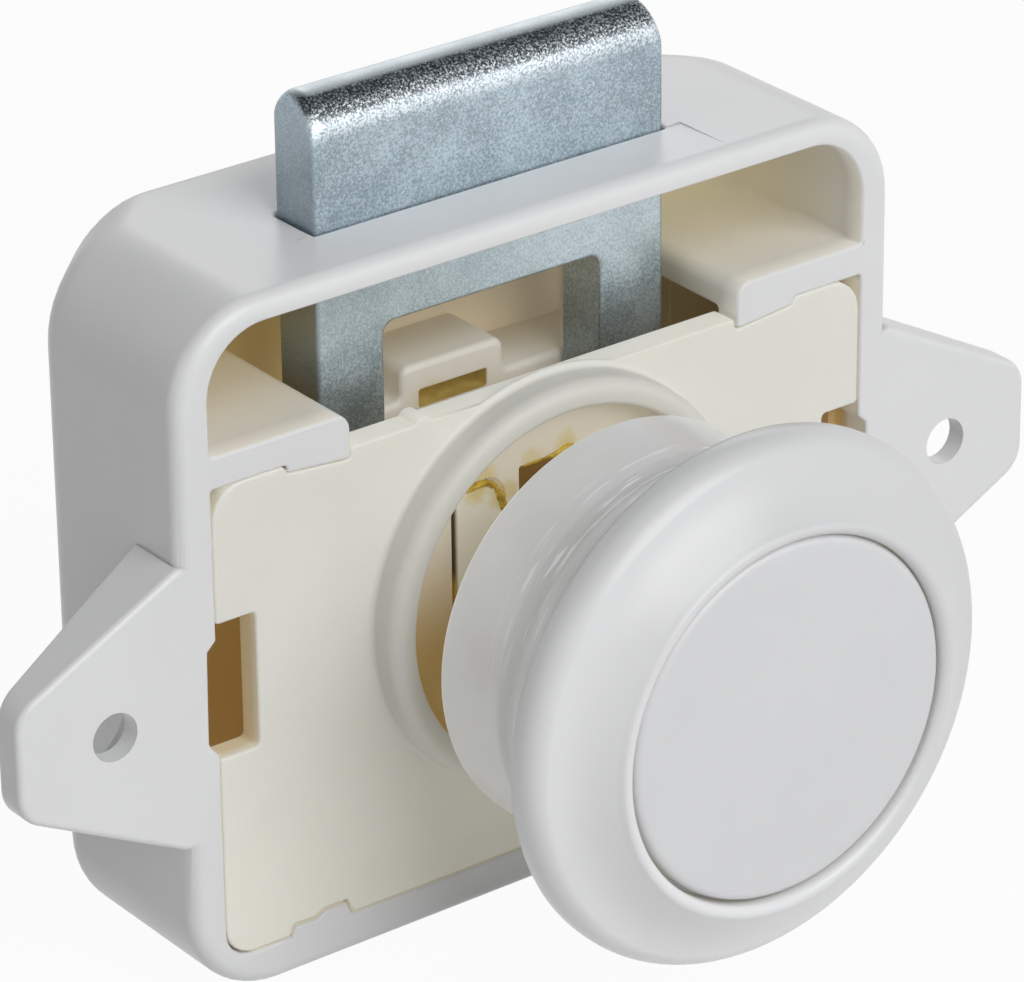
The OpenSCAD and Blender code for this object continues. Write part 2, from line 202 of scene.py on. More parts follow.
def toObject(bm, name):
    bmesh.ops.remove_doubles(bm, verts=bm.verts, dist=1e-5)
    bmesh.ops.recalc_face_normals(bm, faces=bm.faces)
    bmesh.ops.scale(bm, vec=(mm, mm, mm), verts=bm.verts)
    mesh = bpy.data.meshes.new(name)
    bm.to_mesh(mesh)
    bm.free()
    obj = bpy.data.objects.new(name, mesh)
    scene.collection.objects.link(obj)
    return obj


def applyModifiers(obj):
    graph = bpy.context.evaluated_depsgraph_get()
    mesh = bpy.data.meshes.new_from_object(obj.evaluated_get(graph))
    old = obj.data
    obj.modifiers.clear()
    obj.data = mesh
    bpy.data.meshes.remove(old)


def combine(obj, tool, how="UNION"):
    mod = obj.modifiers.new(how.lower(), "BOOLEAN")
    mod.operation = how
    mod.solver = "EXACT"
    mod.object = tool
    applyModifiers(obj)
    bpy.data.objects.remove(tool)


def cut(obj, tool):
    combine(obj, tool, "DIFFERENCE")


def smoothAll(obj):
    for p in obj.data.polygons:
        p.use_smooth = True


def softenEdges(obj, width, angle, segments=3):
    mod = obj.modifiers.new("soft edges", "BEVEL")
    mod.width = width * mm
    mod.segments = segments
    mod.limit_method = "ANGLE"
    mod.angle_limit = radians(angle)
    mod.use_clamp_overlap = False
    mod.miter_outer = "MITER_ARC"
    applyModifiers(obj)
    smoothAll(obj)


def evenNormals(obj):
    mod = obj.modifiers.new("even normals", "WEIGHTED_NORMAL")
    mod.mode = "FACE_AREA"
    mod.weight = 60
    mod.keep_sharp = True


# shader groups shared by the finishes

def feed(tree, node, values):  # plain values, or the outputs of other nodes
    for key, value in values.items():
        socket = node.inputs[key]
        if hasattr(value, "is_linked"):
            tree.links.new(value, socket)
        elif socket.type == "RGBA":
            socket.default_value = (*value[:3], 1)
        else:
            socket.default_value = value
    return node.outputs


def newNode(tree, kind, values=None, **options):
    node = tree.nodes.new("ShaderNode" + kind)
    for key, value in options.items():
        setattr(node, key, value)
    return feed(tree, node, values or {})


def newGroup(name, inputs, outputs):
    tree = bpy.data.node_groups.new(name, "ShaderNodeTree")
    for label, default in inputs.items():  # four numbers are a colour, three a vector
        kind = {4: "Color", 3: "Vector"}[len(default)] if isinstance(default, tuple) else "Float"
        socket = tree.interface.new_socket(name=label, in_out="INPUT", socket_type="NodeSocket" + kind)
        socket.default_value = default
    for label in outputs:
        kind = "Color" if label == "Colour" else "Float"
        tree.interface.new_socket(name=label, in_out="OUTPUT", socket_type="NodeSocket" + kind)
    given, out = tree.nodes.new("NodeGroupInput").outputs, tree.nodes.new("NodeGroupOutput")
    return tree, given, out, newNode(tree, "TexCoord")["Object"]


def mathNode(tree, operation, a, b):
    return newNode(tree, "Math", {0: a, 1: b}, operation=operation)[0]


def times(tree, a, b):
    return mathNode(tree, "MULTIPLY", a, b)


def vectorNode(tree, operation, a, b, output="Value"):
    return newNode(tree, "VectorMath", {0: a, 1: b}, operation=operation)[output]


def mixColour(tree, factor, a, b):  # through the colour sockets of a node with many kinds
    return newNode(tree, "Mix", {0: factor, 6: a, 7: b}, data_type="RGBA")[2]


def noiseNode(tree, coords, scale, detail, rough=0.5):
    values = {"Vector": coords, "Scale": scale, "Detail": detail, "Roughness": rough}
    return newNode(tree, "TexNoise", values)[0]


def rangeNode(tree, value, low, high, outLow=0.0, outHigh=1.0):
    values = {0: value, 1: low, 2: high, 3: outLow, 4: outHigh}
    return newNode(tree, "MapRange", values, interpolation_type="SMOOTHSTEP")[0]


grainSize = {"coarseShare": 0.8, "fineShare": 0.2, "raggedScale": 1400.0, "raggedReach": 0.9,
             "stainRim": (1.0, 0.35), "speckShare": 0.72, "cloudShare": 0.28, "cloudScale": 320.0,
             "speckSpan": (0.39, 0.62), "cloudSpan": (0.3, 0.7), "streakSpan": (0.54, 0.64)}


def makeMouldSkin():  # faint unevenness of moulded plastic
    inputs = {"Coarse": 140.0, "Fine": 2600.0, "Gloss": 0.3, "Gloss Spread": 0.06}
    tree, given, out, coords = newGroup("mouldSkin", inputs, ["Height", "Roughness", "Mottle"])
    coarse = noiseNode(tree, coords, given["Coarse"], 3.0, 0.55)
    fine = noiseNode(tree, coords, given["Fine"], 1.0)
    spread = times(tree, mathNode(tree, "SUBTRACT", coarse, 0.5), given["Gloss Spread"])
    rough = mathNode(tree, "ADD", given["Gloss"], spread)
    height = mathNode(tree, "ADD", times(tree, coarse, grainSize["coarseShare"]),
                      times(tree, fine, grainSize["fineShare"]))
    feed(tree, out, {"Height": height, "Roughness": rough, "Mottle": coarse})
    return tree


def lengthAlong(tree, coords, axis):
    return vectorNode(tree, "DOT_PRODUCT", coords, axis)


def lengthAround(tree, coords, centre):  # distance from a line along the knob's axis
    return vectorNode(tree, "DISTANCE", vectorNode(tree, "MULTIPLY", coords, (1, 0, 1), "Vector"), centre)


def makeTint(name, spot, default, measure):  # second colour that comes in over a span of a length
    inputs = {"Colour": (0.8, 0.8, 0.8, 1), "Tint": (0.5, 0.4, 0.2, 1), spot: default, "From": 0.0,
              "To": 0.01, "Amount": 1.0}
    tree, given, out, coords = newGroup(name, inputs, ["Colour", "Mask"])
    share = rangeNode(tree, measure(tree, coords, given[spot]), given["From"], given["To"])
    mask = times(tree, share, given["Amount"])
    feed(tree, out, {"Colour": mixColour(tree, mask, given["Colour"], given["Tint"]), "Mask": mask})
    return tree


def makeGreaseStain():  # yellow smear round a point, ragged at its rim
    inputs = {"Colour": (0.8, 0.8, 0.7, 1), "Stain": (0.64, 0.50, 0.10, 1), "Centre": (0, 0, 0),
              "Radius": 0.002, "Strength": 0.8}
    tree, given, out, coords = newGroup("greaseStain", inputs, ["Colour", "Mask"])
    away = mathNode(tree, "DIVIDE", vectorNode(tree, "DISTANCE", coords, given["Centre"]), given["Radius"])
    rim = noiseNode(tree, coords, grainSize["raggedScale"], 3.0, 0.6)
    ragged = times(tree, mathNode(tree, "SUBTRACT", rim, 0.5), grainSize["raggedReach"])
    share = mathNode(tree, "ADD", away, ragged)
    mask = times(tree, rangeNode(tree, share, *grainSize["stainRim"]), given["Strength"])
    feed(tree, out, {"Colour": mixColour(tree, mask, given["Colour"], given["Stain"]), "Mask": mask})
    return tree


def makeMetalGrain():  # crystalline speckle of plated or drawn steel
    inputs = {"Light": (0.7, 0.75, 0.8, 1), "Dark": (0.3, 0.35, 0.4, 1), "Grain": 5200.0, "Rough Low": 0.22,
              "Rough High": 0.5}
    tree, given, out, coords = newGroup("metalGrain", inputs, ["Colour", "Roughness", "Height"])
    grain = noiseNode(tree, coords, given["Grain"], 3.0, 0.8)
    cloud = noiseNode(tree, coords, grainSize["cloudScale"], 4.0, 0.6)
    both = mathNode(tree, "ADD", times(tree, grain, grainSize["speckShare"]),
                    times(tree, cloud, grainSize["cloudShare"]))
    speck = rangeNode(tree, both, *grainSize["speckSpan"])
    rough = rangeNode(tree, cloud, *grainSize["cloudSpan"], given["Rough Low"], given["Rough High"])
    colour = mixColour(tree, speck, given["Dark"], given["Light"])
    feed(tree, out, {"Colour": colour, "Roughness": rough, "Height": grain})
    return tree


def makeTurnedStreaks():  # short marks that run round the knob's axis
    inputs = {"Radius": 0.0127, "Width": 2100.0, "Length": 180.0}
    tree, given, out, coords = newGroup("turnedStreaks", inputs, ["Height", "Mask"])
    at = newNode(tree, "SeparateXYZ", {0: coords})
    run = times(tree, mathNode(tree, "ARCTAN2", at["Z"], at["X"]), given["Radius"])
    stretched = {0: times(tree, run, given["Length"]), 1: times(tree, at["Y"], given["Width"])}
    marks = noiseNode(tree, newNode(tree, "CombineXYZ", stretched)[0], 1.0, 2.0, 0.6)
    feed(tree, out, {"Height": marks, "Mask": rangeNode(tree, marks, *grainSize["streakSpan"])})
    return tree


groups = {"turnedStreaks": makeTurnedStreaks(), "mouldSkin": makeMouldSkin(),
          "alongTint": makeTint("alongTint", "Axis", (0, 1, 0), lengthAlong),
          "roundTint": makeTint("roundTint", "Centre", (0, 0, 0), lengthAround),
          "greaseStain": makeGreaseStain(), "metalGrain": makeMetalGrain()}
print("shader groups:", ", ".join(groups))


def place(tree, name, **values):
    named = {key.replace("_", " "): v for key, v in values.items()}
    return newNode(tree, "Group", named, node_tree=groups[name])


def newMaterial(name):
    m = bpy.data.materials.new(name)
    m.use_nodes = True
    return m, m.node_tree, m.node_tree.nodes["Principled BSDF"]


def bumpNode(tree, height, strength, distance):
    values = {"Height": height, "Strength": strength, "Distance": distance}
    return newNode(tree, "Bump", values)["Normal"]


# tints and masks come in from one place to another, in millimetres

def along(axis, start, end, colour=None, within=(), amount=1.0, grit=None):  # along a direction
    return {"group": "alongTint", "spot": {"Axis": axis}, "span": (start, end), "colour": colour,
            "within": within, "amount": amount, "grit": grit}


def around(start, end, centre=(0, 0, 0), colour=None, within=()):  # with the distance from the knob's axis
    return {"group": "roundTint", "spot": {"Centre": [c * mm for c in centre]}, "span": (start, end),
            "colour": colour, "within": within, "amount": 1.0, "grit": None}


def placeTint(tree, tint, **values):
    start, end = tint["span"]
    return place(tree, tint["group"], From=start * mm, To=end * mm, **tint["spot"], **values)


def tintInto(tree, colour, tint, amount):
    for mask in tint["within"]:  # only where these masks are on
        amount = times(tree, placeTint(tree, mask)["Mask"], amount)
    return placeTint(tree, tint, Colour=colour, Tint=tint["colour"], Amount=amount)["Colour"]


skinSize = {"depth": 0.0004, "under": 0.0012, "ior": 1.5, "mottle": (0.3, 0.7), "grainDepth": 0.00006,
            "greaseDepth": 0.0002, "greaseBump": 0.4, "greaseGloss": 0.16, "greaseSpread": 0.12,
            "greaseMottle": (0.35, 0.65)}
plainSkin = {"coarse": 150.0, "gloss": 0.34, "glossSpread": 0.05, "bump": 0.05}


def plastic(name, settings):
    s = {**plainSkin, **settings}
    m, tree, shader = newMaterial(name)
    skin = place(tree, "mouldSkin", Coarse=s["coarse"], Gloss=s["gloss"], Gloss_Spread=s["glossSpread"])
    mottle = rangeNode(tree, skin["Mottle"], *skinSize["mottle"])
    colour = mixColour(tree, mottle, s["shade"], s["colour"])
    for tint in s.get("tints", ()):
        colour = tintInto(tree, colour, tint, tint["amount"])
    height = skin["Height"]
    if "turned" in s:
        streaks = place(tree, "turnedStreaks")
        where = times(tree, *(placeTint(tree, mask)["Mask"] for mask in s["turnedWhere"]))
        raised = times(tree, streaks["Height"], times(tree, where, s["turned"]))
        height = mathNode(tree, "ADD", height, raised)
        # painted highlight: the streaks turned near white where the light falls
        colour = mixColour(tree, times(tree, streaks["Mask"], where), colour, s["turnedColour"])
    for centre, radius, strength in s.get("stains", ()):
        spot = {"Centre": [c * mm for c in centre], "Radius": radius * mm, "Strength": strength}
        colour = place(tree, "greaseStain", Colour=colour, **spot)["Colour"]
    feed(tree, shader, {"Base Color": colour, "Roughness": skin["Roughness"], "IOR": skinSize["ior"],
                        "Normal": bumpNode(tree, height, s["bump"], skinSize["depth"])})
    if "under" in s:
        feed(tree, shader, {"Subsurface Weight": s["under"], "Subsurface Radius": s["underRadius"],
                            "Subsurface Scale": skinSize["under"]})
    if "glow" in s:  # painted light: emission that lightens hollows, gaps and shaded places, standing for light that comes through thin walls
        glow = s.get("through", (0, 0, 0))
        for tint in s["glow"]:
            glow = tintInto(tree, glow, tint, tint["amount"])
        feed(tree, shader, {"Emission Color": glow, "Emission Strength": 1.0})
    return m


def metal(name, s):
    m, tree, shader = newMaterial(name)
    grain = place(tree, "metalGrain", Light=s["light"], Dark=s["dark"], Grain=s["grain"],
                  Rough_Low=s["roughLow"], Rough_High=s["roughHigh"])
    colour = grain["Colour"]
    # the tints are painted highlights, painted reflections and painted shade
    for tint in s.get("tints", ()):
        amount = tint["amount"]
        if tint["grit"]:  # broken up by the grain
            amount = times(tree, rangeNode(tree, grain["Height"], *tint["grit"]), amount)
        colour = tintInto(tree, colour, tint, amount)
    feed(tree, shader, {"Base Color": colour, "Roughness": grain["Roughness"], "Metallic": s["metallic"],
                        "Normal": bumpNode(tree, grain["Height"], s["bump"], skinSize["grainDepth"])})
    return m


def grease(name, s):
    m, tree, shader = newMaterial(name)
    skin = place(tree, "mouldSkin", Coarse=s["coarse"], Gloss=skinSize["greaseGloss"],
                 Gloss_Spread=skinSize["greaseSpread"])
    mottle = rangeNode(tree, skin["Mottle"], *skinSize["greaseMottle"])
    bump = bumpNode(tree, skin["Height"], skinSize["greaseBump"], skinSize["greaseDepth"])
    feed(tree, shader, {"Base Color": mixColour(tree, mottle, s["dark"], s["pale"]), "Normal": bump,
                        "Roughness": skin["Roughness"], "Emission Color": s["through"],
                        "Emission Strength": 1.0})
    return m


inward, upward, leftward, rightward = (0, 1, 0), (0, 0, 1), (-1, 0, 0), (1, 0, 0)
# masks that place painted shade and painted light in the case's hollows, inside the ring and on the plunger
# plate's side
underCover, farIn, onBack = along(inward, 1.6, 2.4), along(inward, 7.0, 10.0), along(inward, 10.0, 13.0)
underShelf = along(upward, 13.1, 12.8)
shelfUp, shelfDown = along(upward, 13.0, 13.4), along(upward, 13.0, 12.7)
inRing = around(11.5, 11.1, (0, 0, 0.55))
plateSide = along(leftward, 6.5, 6.75)
plasticLooks = {
    "whitePlastic": {
        "colour": (0.80, 0.805, 0.812), "shade": (0.785, 0.79, 0.797), "coarse": 120.0, "gloss": 0.33},
    "whiteKnob": {
        "colour": (0.86, 0.865, 0.875), "shade": (0.845, 0.85, 0.86), "coarse": 160.0, "gloss": 0.31,
        "glossSpread": 0.04, "bump": 0.04,
        # painted shade: darker towards the upper right and lighter to the lower left, as the light falls
        # across the rosette
        "tints": [along((0.707, 0, 0.707), -14.0, 14.0, (0.71, 0.715, 0.722))],
        # painted light in the gap at the lip hole's inner wall
        "glow": [around(11.42, 11.3, colour=(0.02, 0.018, 0.013))]},
    "knobFace": {
        "colour": (0.735, 0.74, 0.75), "shade": (0.72, 0.725, 0.735), "coarse": 160.0, "gloss": 0.38,
        # painted light on the disc's side, in the gap at the lip
        "glow": [along(inward, -21.7, -21.4, (0.09, 0.08, 0.06))]},
    "innerPlastic": {
        "colour": (0.82, 0.80, 0.75), "shade": (0.805, 0.785, 0.73), "coarse": 120.0,
        # painted shade: warmer and darker deeper in the case, on the back wall, under the cover and under
        # the shelf
        "tints": [along(inward, 0.5, 14.0, (0.84, 0.76, 0.55)),
                  along(upward, 15.2, 13.6, (0.74, 0.60, 0.40), [farIn]),
                  along(leftward, 6.5, 9.0, (0.58, 0.44, 0.21), [onBack]),
                  along(upward, 9.0, 8.0, (0.55, 0.42, 0.22), [underCover]),
                  along(rightward, 11.5, 13.0, (0.36, 0.29, 0.19), [underShelf, farIn])],
        # painted light: emission along the rim, in the seams and deep inside the case, lightening its shade
        "glow": [along(inward, 1.8, 0.1, (0.14, 0.135, 0.12), [shelfUp]),
                 along(inward, 0.1, 0.3, (0.10, 0.087, 0.06), [shelfDown]),
                 along(inward, 1.6, 2.0, (0.02, 0.016, 0.01)),
                 along(inward, 4.0, 14.0, (0.082, 0.082, 0.07)),
                 along(leftward, 6.5, 9.0, (0.095, 0.066, 0.025), [onBack]),
                 along(upward, 9.0, 8.0, (0.11, 0.068, 0.022), [underCover]),
                 along(rightward, 11.5, 13.0, (0.03, 0.024, 0.012), [underShelf, farIn])]},
    "ivoryPlastic": {
        "colour": (0.83, 0.82, 0.76), "shade": (0.81, 0.80, 0.735), "gloss": 0.5, "glossSpread": 0.06,
        "bump": 0.08, "under": 0.3, "underRadius": (1.0, 0.75, 0.45),
        # painted shade: tan in the seams, the ring's front darker, the floor inside the ring warmer, and a
        # painted shadow crescent low inside the ring
        "tints": [along(inward, 0.3, 1.0, (0.78, 0.69, 0.50), [along(upward, 12.6, 11.9)]),
                  along(inward, 0.06, -0.3, (0.70, 0.695, 0.65)),
                  {**inRing, "colour": (0.75, 0.705, 0.60)},
                  along(upward, 7.0, -3.0, (0.49, 0.345, 0.13), [inRing])],
        "stains": [((-1.2, 0.0, 8.4), 1.0, 0.5), ((1.3, 0.0, 8.7), 1.1, 0.65), ((-4.7, 0.0, 8.3), 1.2, 0.7),
                   ((-2.9, 0.0, 6.9), 0.9, 0.7)],
        # painted light: emission lightening the knob's shadow on the lower half, the seams, the tongue's top
        # and the inside of the ring
        "glow": [along(upward, -1.0, -15.0, (0.066, 0.063, 0.042)),
                 along(inward, 0.12, 0.26, (0.055, 0.047, 0.03)),
                 along(upward, 12.4, 12.9, (0.15, 0.147, 0.138), [along(inward, 0.12, 0.4)]),
                 {**inRing, "colour": (0.13, 0.118, 0.093)},
                 along(upward, 7.0, -3.0, (0.08, 0.05, 0.015), [inRing])]},
    "greasedIvoryPaintedShade": {
        "colour": (0.82, 0.81, 0.76), "shade": (0.80, 0.79, 0.735), "glossSpread": 0.1, "bump": 0.1,
        # painted shade: darker towards the back and below the cover; the stain is grease
        "tints": [along(inward, 9.8, 14.0, (0.56, 0.49, 0.38)), along(upward, 9.0, 7.0, (0.55, 0.42, 0.22))],
        "stains": [((-1.6, 9.3, 8.9), 1.9, 0.35)],
        # painted light: emission on the upper part
        "glow": [along(upward, 4.0, 9.0, (0.06, 0.053, 0.042))]},
    "plungerIvory": {
        "colour": (0.80, 0.79, 0.74), "shade": (0.78, 0.77, 0.715), "glossSpread": 0.1, "bump": 0.1,
        # painted shade: darker behind the cover, and dark on the left plate's outer side where the slit is
        # shaded, with grease yellow low on that side
        "tints": [along(inward, 0.6, 4.0, (0.55, 0.40, 0.18)),
                  {**plateSide, "colour": (0.10, 0.062, 0.02)},
                  along(upward, 2.8, 1.6, (0.55, 0.36, 0.05), [plateSide])],
        "stains": [((-5.0, 0.0, 8.0), 1.6, 0.75), ((-3.6, 0.2, 6.6), 0.9, 0.6)],
        # painted light: emission on the front part and just behind the cover, none on the shaded plate side
        "glow": [along(inward, -1.0, 0.0, (0.12, 0.10, 0.06)), along(inward, 0.6, 3.0, (0.06, 0.035, 0.01)),
                 {**plateSide, "colour": (0.0, 0.0, 0.0)}]},
    "milkySleeve": {
        "colour": (0.80, 0.80, 0.80), "shade": (0.77, 0.77, 0.77), "coarse": 220.0, "gloss": 0.2,
        "glossSpread": 0.08, "bump": 0.1, "under": 0.2, "underRadius": (1.0, 0.95, 0.9),
        "tints": [along(inward, -11.4, -11.7, (0.66, 0.66, 0.655), [along(inward, -13.2, -12.9)]),
                  along(inward, -13.8, -14.1, (0.61, 0.61, 0.605), [along(inward, -15.6, -15.2)])],
        # painted light: an even emission over the sleeve, and a painted highlight along its rear rim
        "through": (0.075, 0.075, 0.075), "glow": [along(inward, -6.42, -6.28, (0.3, 0.3, 0.29))],
        # streak marks raised on the upper side, where they are also turned near white as a painted highlight
        "turned": 0.9, "turnedColour": (0.97, 0.97, 0.98),
        "turnedWhere": (along(inward, -9.6, -11.2), along(upward, 1.0, 8.0))},
}
metalLooks = {
    "zincPlate": {
        "light": (0.59, 0.695, 0.76), "dark": (0.29, 0.365, 0.415), "grain": 6400.0, "roughLow": 0.3,
        "roughHigh": 0.42, "bump": 0.35, "metallic": 0.7,
        # painted sheen: the face lighter between about 18.5 and 22 mm up
        "tints": [along(upward, 23.6, 22.0, (0.86, 0.97, 1.0), [along(upward, 14.5, 18.5)], 0.3),
                  # painted shade: the legs darker low down inside the case
                  along(upward, 15.5, 12.0, (0.09, 0.115, 0.125), amount=0.4),
                  # painted shade: the side faces darker, the left one more so low down
                  along(leftward, 12.3, 12.55, (0.28, 0.335, 0.38), amount=0.6),
                  along(rightward, 12.3, 12.55, (0.24, 0.29, 0.33), amount=0.7),
                  along(leftward, 12.3, 12.55, (0.10, 0.11, 0.11), [along(upward, 23.5, 21.5)], 0.25),
                  # painted highlight along the upper rounding, broken up by the grain
                  along((0, -0.87, 0.493), 9.9, 10.25, (0.93, 0.97, 1.0), amount=0.75, grit=(0.42, 0.56)),
                  # painted reflection: a dark band over the rounding, broken up by the grain
                  along((0, -0.55, 0.835), 22.3, 22.62, (0.03, 0.037, 0.04), amount=0.95, grit=(0.64, 0.46)),
                  # painted highlight on the flat top
                  along(upward, 31.6, 31.72, (0.62, 0.68, 0.71), amount=0.85)]},
    "brightSteel": {
        "light": (0.66, 0.67, 0.69), "dark": (0.45, 0.46, 0.48), "grain": 2400.0, "roughLow": 0.3,
        "roughHigh": 0.4, "bump": 0.15, "metallic": 1.0},
}
# the emission is painted light, lightening the grease where it lies in shade
greaseLooks = {
    "yellowGrease": {"coarse": 1500.0, "dark": (0.34, 0.20, 0.012), "pale": (0.66, 0.47, 0.05),
                     "through": (0.05, 0.03, 0.001)},
    "slotGrease": {"coarse": 420.0, "dark": (0.36, 0.23, 0.06), "pale": (0.56, 0.40, 0.14),
                   "through": (0.062, 0.052, 0.015)},
}
finishes = {}
for make, looks in ((plastic, plasticLooks), (metal, metalLooks), (grease, greaseLooks)):
    for name, settings in looks.items():
        finishes[name] = make(name, settings)
print("finishes:", ", ".join(finishes))


def finishPiece(obj, body, slot, node, *names):
    if node:
        evenNormals(obj)
    obj.data.materials.clear()
    for name in names:
        obj.data.materials.append(finishes[name])
    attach(obj, body)
    if node:
        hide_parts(node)
    return obj


# tools for joining and cutting

past = 3.0  # how far a cutting tool reaches past what it cuts


def shutLoft(bm, loops, name):
    loft(bm, loops)
    bm.faces.new(loops[0])
    bm.faces.new(list(reversed(loops[-1])))
    return toObject(bm, name)


def prismTool(outline, y0, y1):
    bm = bmesh.new()
    return shutLoft(bm, [addLoop(bm, outline, y) for y in (y0, y1)], "prism tool")


def crossTool(outline, reach):  # outline of (y, z), run along x
    bm = bmesh.new()
    ends = [[bm.verts.new((x, y, z)) for y, z in outline] for x in (-reach, reach)]
    return shutLoft(bm, ends, "cross tool")


def slabTool(name, *shape):
    bm = bmesh.new()
    slab(bm, *shape)
    return toObject(bm, name)


def latheTool(name, profile, steps=160, closed=True, at=(0, 0, 0)):
    bm = bmesh.new()
    lathe(bm, profile, steps, closed)
    bmesh.ops.translate(bm, vec=at, verts=bm.verts)
    return toObject(bm, name)


def brickTool(low, high):
    bm = bmesh.new()
    brick(bm, low, high)
    return toObject(bm, "brick tool")


def sideBrick(side, x, y, z):  # each a pair from near to far, x on the left or right side
    low, high = sorted(side * v for v in x)
    return brickTool((low, y[0], z[0]), (high, y[1], z[1]))


# case: moulded box open at the front, with shelves, bolt slot and screw ears

caseSize = {"halfWidth": 26.0, "low": -19.8, "high": 24.0, "depth": 17.0, "corner": 6.0, "frontEdge": 1.0,
            "bevelFrom": 13.0, "bevel": 4.0, "innerX": 23.7, "innerLow": -17.2, "innerHigh": 22.5,
            "innerCorner": 4.0, "lowCorner": 1.8, "innerBack": 14.4, "innerBevel": 3.0, "innerFrom": 0.12,
            "softEdge": 0.2, "softAngle": 50, "notchDeep": 3.0, "slotX": 12.75, "slotFront": 5.05,
            "slotBack": 9.15}
shelfSize = {"end": 14.1, "low": 13.2, "high": 15.2, "round": 1.0, "lipEnd": 18.48, "lipLow": 12.32,
             "lipRise": 0.4, "lipRound": 0.3, "lipDeep": 1.9, "lipGap": 0.01, "intoWall": 0.9,
             "intoBack": 0.3, "clearX": 23.9, "clearY": 13.2}
restSize = {"end": 22.3, "front": 1.95, "back": 11.4, "lows": (-12.2, 5.2), "height": 4.0, "intoWall": 0.5}
earSize = {"root": 24.4, "rise": 26.2, "span": 37.2, "rootHalf": 9.0, "tipRadius": 2.2, "tipCentre": 2.0,
           "tipTurn": 62, "rootThick": 4.5, "tipThick": 2.0, "thinPast": 1.0, "screwAt": 30.75,
           "screwRadius": 1.5, "edge": 0.4, "front": 0.008, "wall": 1.3, "pocket": 3.5}
recessSize = {"halfX": 13.9, "from": 0.55, "to": 5.2, "deep": 0.09}
studSize = {"front": -0.004, "back": 1.9, "edge": 0.13}
notchOutline = [(23.0, 3.9), (23.7, 3.8), (24.3, 3.2), (24.4, -2.6), (24.2, -3.0), (23.7, -3.5),
                (23.0, -3.6)]
studOutline = [(19.1, -17.9, 0), (19.1, -17.1, 0.1), (18.8, -16.6, 0.1), (17.3, -16.65, 0.1),
               (16.7, -16.3, 0.1), (15.2, -16.3, 0.1), (14.9, -17.0, 0.1), (14.9, -17.9, 0)]


def caseShell():
    s = caseSize
    bm = bmesh.new()

    def ring(halfX, draw, y):
        low, high, corner = s["low"] + draw, s["high"] - draw, s["corner"] - draw
        return addLoop(bm, roundedRect(-halfX, halfX, low, high, corner, 12), y)

    loops = []
    backX = s["halfWidth"] - s["bevel"]
    for t in (1.0, 0.92, 0.75, 0.5, 0.0):  # rounded edge of the back, 1 mm
        draw = 1 - sqrt(1 - t * t)
        loops.append(ring(backX + (1 - t) - 0.45 * t * t, draw, s["depth"] - 1 + t))
    for dy in (1.0, 0.6, 0.2, -0.2, -0.6, -1.0):  # side slope runs softly into the side
        loops.append(ring(s["halfWidth"] - (dy + 1) ** 2 / 4, 0.0, s["bevelFrom"] + dy))
    for y, draw in reversed(edgeLevels(0.0, s["depth"], s["frontEdge"], 6)[:7]):
        loops.append(ring(s["halfWidth"] - draw, draw, y))
    loft(bm, loops)
    inner = []
    for y, draw in ((0.0, 0.0), (s["innerBack"] - s["innerBevel"], 0.0), (s["innerBack"], s["innerBevel"])):
        x = s["innerX"] - draw
        inner.append(addLoop(bm, roundedRect(-x, x, s["innerLow"], s["innerHigh"], s["innerCorner"], 12,
                                             s["lowCorner"]), y))
    loft(bm, [loops[-1]] + inner)
    cap(bm, loops[0])
    cap(bm, inner[-1])
    return toObject(bm, "case_moulding")


def earTool(side):
    e = earSize
    bm = bmesh.new()
    upper = [(e["root"], e["rootHalf"]), (e["rise"], e["rootHalf"])]
    upper += arcPoints((e["span"] - e["tipRadius"], e["tipCentre"]), e["tipRadius"], e["tipTurn"], 0, 10)
    outline = mirrored(upper + [(x, -z) for x, z in reversed(upper)], side)

    def backAt(x, lift):  # the back slopes down towards the tip
        t = (abs(x) - caseSize["halfWidth"]) / (e["span"] + e["thinPast"] - caseSize["halfWidth"])
        return e["rootThick"] + (e["tipThick"] - e["rootThick"]) * max(0.0, t) - lift

    rounding = edgeLevels(0.0, 0.0, e["edge"], 6)
    loops = [addLoop(bm, inset(outline, d), e["front"] + y) for y, d in rounding[:7]]
    for y, d in rounding[7:]:
        loops.append(addLoop(bm, inset(outline, d), lambda x, z: backAt(x, -y)))
    return shutLoft(bm, loops, "ear tool")


def fromInnerWall(at):  # distance outside the inner outline of the case
    s = caseSize
    middle, half = (s["innerHigh"] + s["innerLow"]) / 2, (s["innerHigh"] - s["innerLow"]) / 2
    r = s["innerCorner"]
    dx, dz = abs(at.x) - (s["innerX"] - r), abs(at.z - middle) - (half - r)
    return hypot(max(dx, 0), max(dz, 0)) + min(max(dx, dz), 0) - r


def shelfTool(side):
    s, h = caseSize, shelfSize
    root, end, lipEnd, lipLow = s["innerX"] + h["intoWall"], h["end"], h["lipEnd"], h["lipLow"]
    outline = softCorners([(root, h["high"], 0), (end, h["high"], h["round"]), (end, lipLow, h["lipRound"]),
                           (lipEnd, lipLow + h["lipRise"], 0), (lipEnd, h["low"], 0), (root, h["low"], 0)])
    shelf = prismTool(mirrored(outline, side), 0.0, s["innerBack"] + h["intoBack"])
    back, under = s["depth"] + past, lipLow - past
    clear = sideBrick(side, (h["clearX"], s["halfWidth"]), (h["clearY"], back), (under, h["high"] + past))
    cut(shelf, clear)  # keeps clear of the sloping back edge
    behindLip = sideBrick(side, (end - past, lipEnd + past), (h["lipDeep"], back),
                          (under, h["low"] - h["lipGap"]))
    cut(shelf, behindLip)
    return shelf


